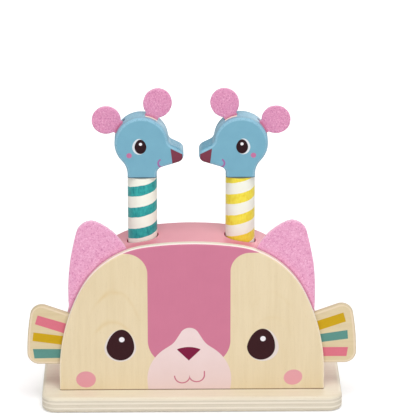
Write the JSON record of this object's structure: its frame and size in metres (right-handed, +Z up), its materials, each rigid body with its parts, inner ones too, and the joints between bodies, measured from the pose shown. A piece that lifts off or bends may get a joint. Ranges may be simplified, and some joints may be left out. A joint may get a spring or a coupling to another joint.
{
  "type": "pop-up jumping mouse toy",
  "caption": "Wooden pop-up toy: a half-dome kitten block on a board, with bores where spring plungers throw striped mouse pegs upwards.",
  "frame": {"origin": "middle of the base board's underside, on the surface that the toy stands on", "axes": "+Z up, +X to the right as the kitten's face is looked at, the face looks along -Y"},
  "size_m": [0.2236, 0.077, 0.2158],
  "materials": {
    "birch_ply": "clear matt lacquer over birch plywood",
    "pink_paint": "satin pink water-based paint",
    "beech": "bare turned beech",
    "teal_stripe_peg": "cream paint with a teal spiral stripe",
    "yellow_stripe_peg": "cream paint with a yellow spiral stripe",
    "blue_paint": "satin blue water-based paint",
    "kitten_felt": "pressed wool felt, fuzzy",
    "mouse_felt": "pressed wool felt, fuzzy",
    "pad_felt": "pressed wool felt",
    "zinc_screw": "zinc plated",
    "spring_wire": "drawn spring wire, lightly oiled"
  },
  "bodies": {
    "stand": {"base_board": "birch_ply", "face_panel": "birch_ply", "body_block": "pink_paint", "kitten_ear_left": "kitten_felt", "kitten_ear_right": "kitten_felt", "whisker_fin_left": "birch_ply", "whisker_fin_right": "birch_ply", "base_screws": "zinc_screw", "spring_seat_left": "beech", "seat_screw_left": "zinc_screw", "spring_left": "spring_wire", "spring_seat_right": "beech", "seat_screw_right": "zinc_screw", "spring_right": "spring_wire"},
    "plunger_left": {"plunger_left": "beech"},
    "pad_left": {"plunger_pad_left": "pad_felt"},
    "mouse_left": {"mouse_peg_left": "teal_stripe_peg", "neck_dowel_left": "beech", "mouse_head_left": "blue_paint", "mouse_rear_ear_left": "mouse_felt", "mouse_crown_ear_left": "mouse_felt"},
    "plunger_right": {"plunger_right": "beech"},
    "pad_right": {"plunger_pad_right": "pad_felt"},
    "mouse_right": {"mouse_peg_right": "yellow_stripe_peg", "neck_dowel_right": "beech", "mouse_head_right": "blue_paint", "mouse_rear_ear_right": "mouse_felt", "mouse_crown_ear_right": "mouse_felt"}
  },
  "joints": [
    {"name": "press_left", "type": "slide", "parent": "stand", "child": "plunger_left", "axis": [0, 0, 1], "range_m": [-0.04, 0], "stiffness_N_per_m": 150, "springref_m": 0.0025, "deforming": ["spring_left"]},
    {"name": "turn_left", "type": "hinge", "parent": "plunger_left", "child": "pad_left", "pos_m": [-0.033, 0.0025, 0.0834], "axis": [0, 0, 1], "continuous": true},
    {"name": "lift_left", "type": "slide", "parent": "pad_left", "child": "mouse_left", "axis": [0, 0, 1], "range_m": [0, 0.06]},
    {"name": "press_right", "type": "slide", "parent": "stand", "child": "plunger_right", "axis": [0, 0, 1], "range_m": [-0.04, 0], "stiffness_N_per_m": 150, "springref_m": 0.0025, "deforming": ["spring_right"]},
    {"name": "turn_right", "type": "hinge", "parent": "plunger_right", "child": "pad_right", "pos_m": [0.033, 0.0025, 0.0834], "axis": [0, 0, 1], "continuous": true},
    {"name": "lift_right", "type": "slide", "parent": "pad_right", "child": "mouse_right", "axis": [0, 0, 1], "range_m": [0, 0.06]}
  ]
}
